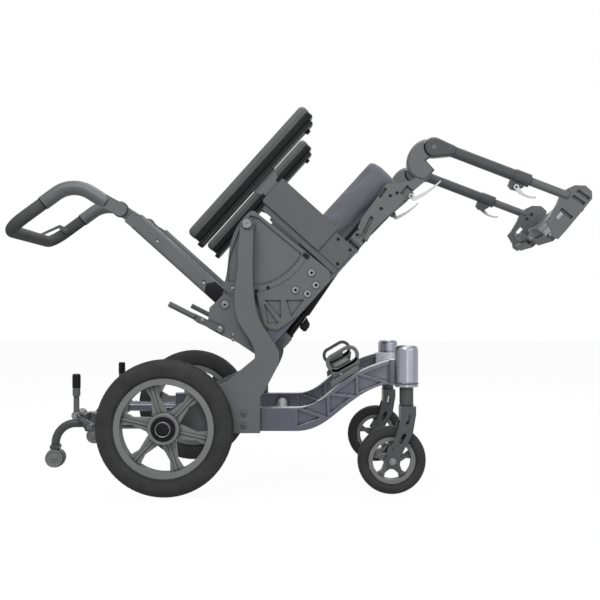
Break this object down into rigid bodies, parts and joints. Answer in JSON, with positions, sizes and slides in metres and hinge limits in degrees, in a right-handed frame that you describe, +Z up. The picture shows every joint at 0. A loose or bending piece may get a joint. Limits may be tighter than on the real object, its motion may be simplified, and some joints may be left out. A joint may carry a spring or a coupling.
{
  "type": "tilt in space wheelchair",
  "caption": "Attendant wheelchair whose seat, arms, back and leg rests tilt together on a wheeled base; shown tilted right back, without its back upholstery.",
  "frame": {"origin": "on the floor, below the middle of the bounding box", "axes": "+X forwards, +Y to the left of the sitter, +Z up"},
  "size_m": [1.36, 0.6286, 0.8635],
  "materials": {
    "rail_metal": "satin powder coat, light lavender grey",
    "frame_metal": "satin powder coat, mid dark grey",
    "bright_steel": "bright zinc plate",
    "tyre_rubber": "matt, fine tread",
    "wheel_plastic": "satin moulded, grey",
    "dark_plastic": "matt moulded, near black",
    "pale_plastic": "satin moulded, light grey",
    "pad_foam": "soft moulded foam skin, green grey",
    "cushion_cloth": "smooth stretch cover, lavender grey"
  },
  "bodies": {
    "base": {"side_rail_left": "rail_metal", "side_rail_right": "rail_metal", "tilt_arm_left": "frame_metal", "tilt_arm_right": "frame_metal", "caster_housing_left": "rail_metal", "caster_housing_right": "rail_metal", "base_cross_tubes": "rail_metal", "tie_down_bracket_left": "frame_metal", "tie_down_bracket_right": "frame_metal", "pivot_bolts": "bright_steel", "wheel_axles": "bright_steel", "lock_brackets": "frame_metal"},
    "seat": {"seat_rail_left": "rail_metal", "seat_rail_right": "rail_metal", "seat_pan": "frame_metal", "seat_cushion": "cushion_cloth", "seat_cross_tubes": "frame_metal", "sector_plate_left": "frame_metal", "sector_plate_right": "frame_metal", "armrest_panel_left": "dark_plastic", "armrest_panel_right": "dark_plastic", "back_brackets": "frame_metal"},
    "back": {"back_cane_left": "frame_metal", "back_cane_right": "frame_metal"},
    "handle": {"push_handle": "frame_metal"},
    "trigger": {"tilt_trigger": "dark_plastic"},
    "drive_wheel_right": {"drive_tyre_right": "tyre_rubber", "drive_rim_right": "wheel_plastic"},
    "caster_swivel_right": {"caster_fork_right": "frame_metal"},
    "caster_wheel_right": {"caster_tyre_right": "tyre_rubber", "caster_rim_right": "wheel_plastic"},
    "anti_tip_right": {"anti_tip_tube_right": "frame_metal"},
    "anti_tip_roller_right": {"anti_tip_roller_right": "dark_plastic"},
    "wheel_lock_right": {"wheel_lock_lever_right": "dark_plastic"},
    "armrest_right": {"armrest_post_right": "frame_metal", "armrest_pad_right": "pad_foam"},
    "recline_lever_right": {"recline_lever_right": "dark_plastic"},
    "hanger_right": {"leg_hanger_right": "frame_metal"},
    "swing_release_right": {"swing_release_lever_right": "pale_plastic"},
    "leg_right": {"leg_tube_right": "frame_metal"},
    "leg_clamp_right": {"leg_clamp_lever_right": "dark_plastic"},
    "extension_right": {"leg_extension_right": "frame_metal"},
    "footplate_right": {"footplate_right": "dark_plastic"},
    "drive_wheel_left": {"drive_tyre_left": "tyre_rubber", "drive_rim_left": "wheel_plastic"},
    "caster_swivel_left": {"caster_fork_left": "frame_metal"},
    "caster_wheel_left": {"caster_tyre_left": "tyre_rubber", "caster_rim_left": "wheel_plastic"},
    "anti_tip_left": {"anti_tip_tube_left": "frame_metal"},
    "anti_tip_roller_left": {"anti_tip_roller_left": "dark_plastic"},
    "wheel_lock_left": {"wheel_lock_lever_left": "dark_plastic"},
    "armrest_left": {"armrest_post_left": "frame_metal", "armrest_pad_left": "pad_foam"},
    "recline_lever_left": {"recline_lever_left": "dark_plastic"},
    "hanger_left": {"leg_hanger_left": "frame_metal"},
    "swing_release_left": {"swing_release_lever_left": "pale_plastic"},
    "leg_left": {"leg_tube_left": "frame_metal"},
    "leg_clamp_left": {"leg_clamp_lever_left": "dark_plastic"},
    "extension_left": {"leg_extension_left": "frame_metal"},
    "footplate_left": {"footplate_left": "dark_plastic"}
  },
  "joints": [
    {"name": "drive_wheel_right", "type": "hinge", "parent": "base", "child": "drive_wheel_right", "pos_m": [-0.28397, -0.28, 0.1505], "axis": [0, 1, 0], "continuous": true},
    {"name": "caster_swivel_right", "type": "hinge", "parent": "base", "child": "caster_swivel_right", "pos_m": [0.24703, -0.242, 0.238], "axis": [0, 0, 1], "continuous": true},
    {"name": "caster_wheel_right", "type": "hinge", "parent": "caster_swivel_right", "child": "caster_wheel_right", "pos_m": [0.21403, -0.242, 0.076], "axis": [0, 1, 0], "continuous": true},
    {"name": "anti_tip_turn_right", "type": "hinge", "parent": "base", "child": "anti_tip_right", "pos_m": [-0.47597, -0.2045, 0.153], "axis": [1, 0, 0], "range_deg": [0, 180]},
    {"name": "anti_tip_roller_right", "type": "hinge", "parent": "anti_tip_right", "child": "anti_tip_roller_right", "pos_m": [-0.54097, -0.2045, 0.075], "axis": [0, 1, 0], "continuous": true},
    {"name": "wheel_lock_right", "type": "hinge", "parent": "base", "child": "wheel_lock_right", "pos_m": [-0.47997, -0.268, 0.176], "axis": [0, -1, 0], "range_deg": [0, 25]},
    {"name": "drive_wheel_left", "type": "hinge", "parent": "base", "child": "drive_wheel_left", "pos_m": [-0.28397, 0.28, 0.1505], "axis": [0, 1, 0], "continuous": true},
    {"name": "caster_swivel_left", "type": "hinge", "parent": "base", "child": "caster_swivel_left", "pos_m": [0.24703, 0.242, 0.238], "axis": [0, 0, 1], "continuous": true},
    {"name": "caster_wheel_left", "type": "hinge", "parent": "caster_swivel_left", "child": "caster_wheel_left", "pos_m": [0.21403, 0.242, 0.076], "axis": [0, 1, 0], "continuous": true},
    {"name": "anti_tip_turn_left", "type": "hinge", "parent": "base", "child": "anti_tip_left", "pos_m": [-0.47597, 0.2045, 0.153], "axis": [-1, 0, 0], "range_deg": [0, 180]},
    {"name": "anti_tip_roller_left", "type": "hinge", "parent": "anti_tip_left", "child": "anti_tip_roller_left", "pos_m": [-0.54097, 0.2045, 0.075], "axis": [0, 1, 0], "continuous": true},
    {"name": "wheel_lock_left", "type": "hinge", "parent": "base", "child": "wheel_lock_left", "pos_m": [-0.47997, 0.268, 0.176], "axis": [0, -1, 0], "range_deg": [0, 25]},
    {"name": "tilt", "type": "hinge", "parent": "base", "child": "seat", "pos_m": [-0.10647, 0, 0.599], "axis": [0, 1, 0], "range_deg": [0, 48]},
    {"name": "recline", "type": "hinge", "parent": "seat", "child": "back", "pos_m": [-0.15802, 0, 0.42069], "axis": [0, -1, 0], "range_deg": [-8, 30]},
    {"name": "handle_angle", "type": "hinge", "parent": "back", "child": "handle", "pos_m": [-0.3959, 0, 0.63623], "axis": [0, -1, 0], "range_deg": [-35, 35]},
    {"name": "tilt_trigger", "type": "hinge", "parent": "handle", "child": "trigger", "pos_m": [-0.6121, 0.1775, 0.62084], "axis": [0, -1, 0], "range_deg": [0, 8], "stiffness_Nm_per_rad": 0.4, "springref_deg": -14.32},
    {"name": "recline_lever_right", "type": "hinge", "parent": "seat", "child": "recline_lever_right", "pos_m": [-0.16859, -0.2148, 0.36562], "axis": [0, -1, 0], "range_deg": [0, 20], "stiffness_Nm_per_rad": 0.6, "springref_deg": -17.19},
    {"name": "armrest_height_right", "type": "slide", "parent": "seat", "child": "armrest_right", "axis": [-0.7431, 0, 0.6691], "range_m": [0, 0.075]},
    {"name": "swing_away_right", "type": "hinge", "parent": "seat", "child": "hanger_right", "pos_m": [0.1397, -0.207, 0.56304], "axis": [0.7431, 0, -0.6691], "range_deg": [0, 90]},
    {"name": "swing_release_right", "type": "hinge", "parent": "hanger_right", "child": "swing_release_right", "pos_m": [0.26044, -0.215, 0.66425], "axis": [0, -1, 0], "range_deg": [0, 10], "stiffness_Nm_per_rad": 0.3, "springref_deg": -17.19},
    {"name": "leg_elevate_right", "type": "hinge", "parent": "hanger_right", "child": "leg_right", "pos_m": [0.31134, -0.207, 0.77384], "axis": [0, -1, 0], "range_deg": [0, 65]},
    {"name": "leg_clamp_right", "type": "hinge", "parent": "leg_right", "child": "leg_clamp_right", "pos_m": [0.49663, -0.215, 0.68451], "axis": [0, 1, 0], "range_deg": [0, 60]},
    {"name": "leg_length_right", "type": "slide", "parent": "leg_right", "child": "extension_right", "axis": [0.9336, 0, -0.3584], "range_m": [0, 0.08]},
    {"name": "footplate_flip_right", "type": "hinge", "parent": "extension_right", "child": "footplate_right", "pos_m": [0.64677, -0.184, 0.63714], "axis": [0.6691, 0, 0.7431], "range_deg": [0, 90]},
    {"name": "recline_lever_left", "type": "hinge", "parent": "seat", "child": "recline_lever_left", "pos_m": [-0.16859, 0.2148, 0.36562], "axis": [0, -1, 0], "range_deg": [0, 20], "stiffness_Nm_per_rad": 0.6, "springref_deg": -17.19},
    {"name": "armrest_height_left", "type": "slide", "parent": "seat", "child": "armrest_left", "axis": [-0.7431, 0, 0.6691], "range_m": [0, 0.075]},
    {"name": "swing_away_left", "type": "hinge", "parent": "seat", "child": "hanger_left", "pos_m": [0.1397, 0.207, 0.56304], "axis": [-0.7431, 0, 0.6691], "range_deg": [0, 90]},
    {"name": "swing_release_left", "type": "hinge", "parent": "hanger_left", "child": "swing_release_left", "pos_m": [0.26044, 0.215, 0.66425], "axis": [0, -1, 0], "range_deg": [0, 10], "stiffness_Nm_per_rad": 0.3, "springref_deg": -17.19},
    {"name": "leg_elevate_left", "type": "hinge", "parent": "hanger_left", "child": "leg_left", "pos_m": [0.31134, 0.207, 0.77384], "axis": [0, -1, 0], "range_deg": [0, 65]},
    {"name": "leg_clamp_left", "type": "hinge", "parent": "leg_left", "child": "leg_clamp_left", "pos_m": [0.49663, 0.215, 0.68451], "axis": [0, 1, 0], "range_deg": [0, 60]},
    {"name": "leg_length_left", "type": "slide", "parent": "leg_left", "child": "extension_left", "axis": [0.9336, 0, -0.3584], "range_m": [0, 0.08]},
    {"name": "footplate_flip_left", "type": "hinge", "parent": "extension_left", "child": "footplate_left", "pos_m": [0.64677, 0.184, 0.63714], "axis": [-0.6691, 0, -0.7431], "range_deg": [0, 90]}
  ]
}
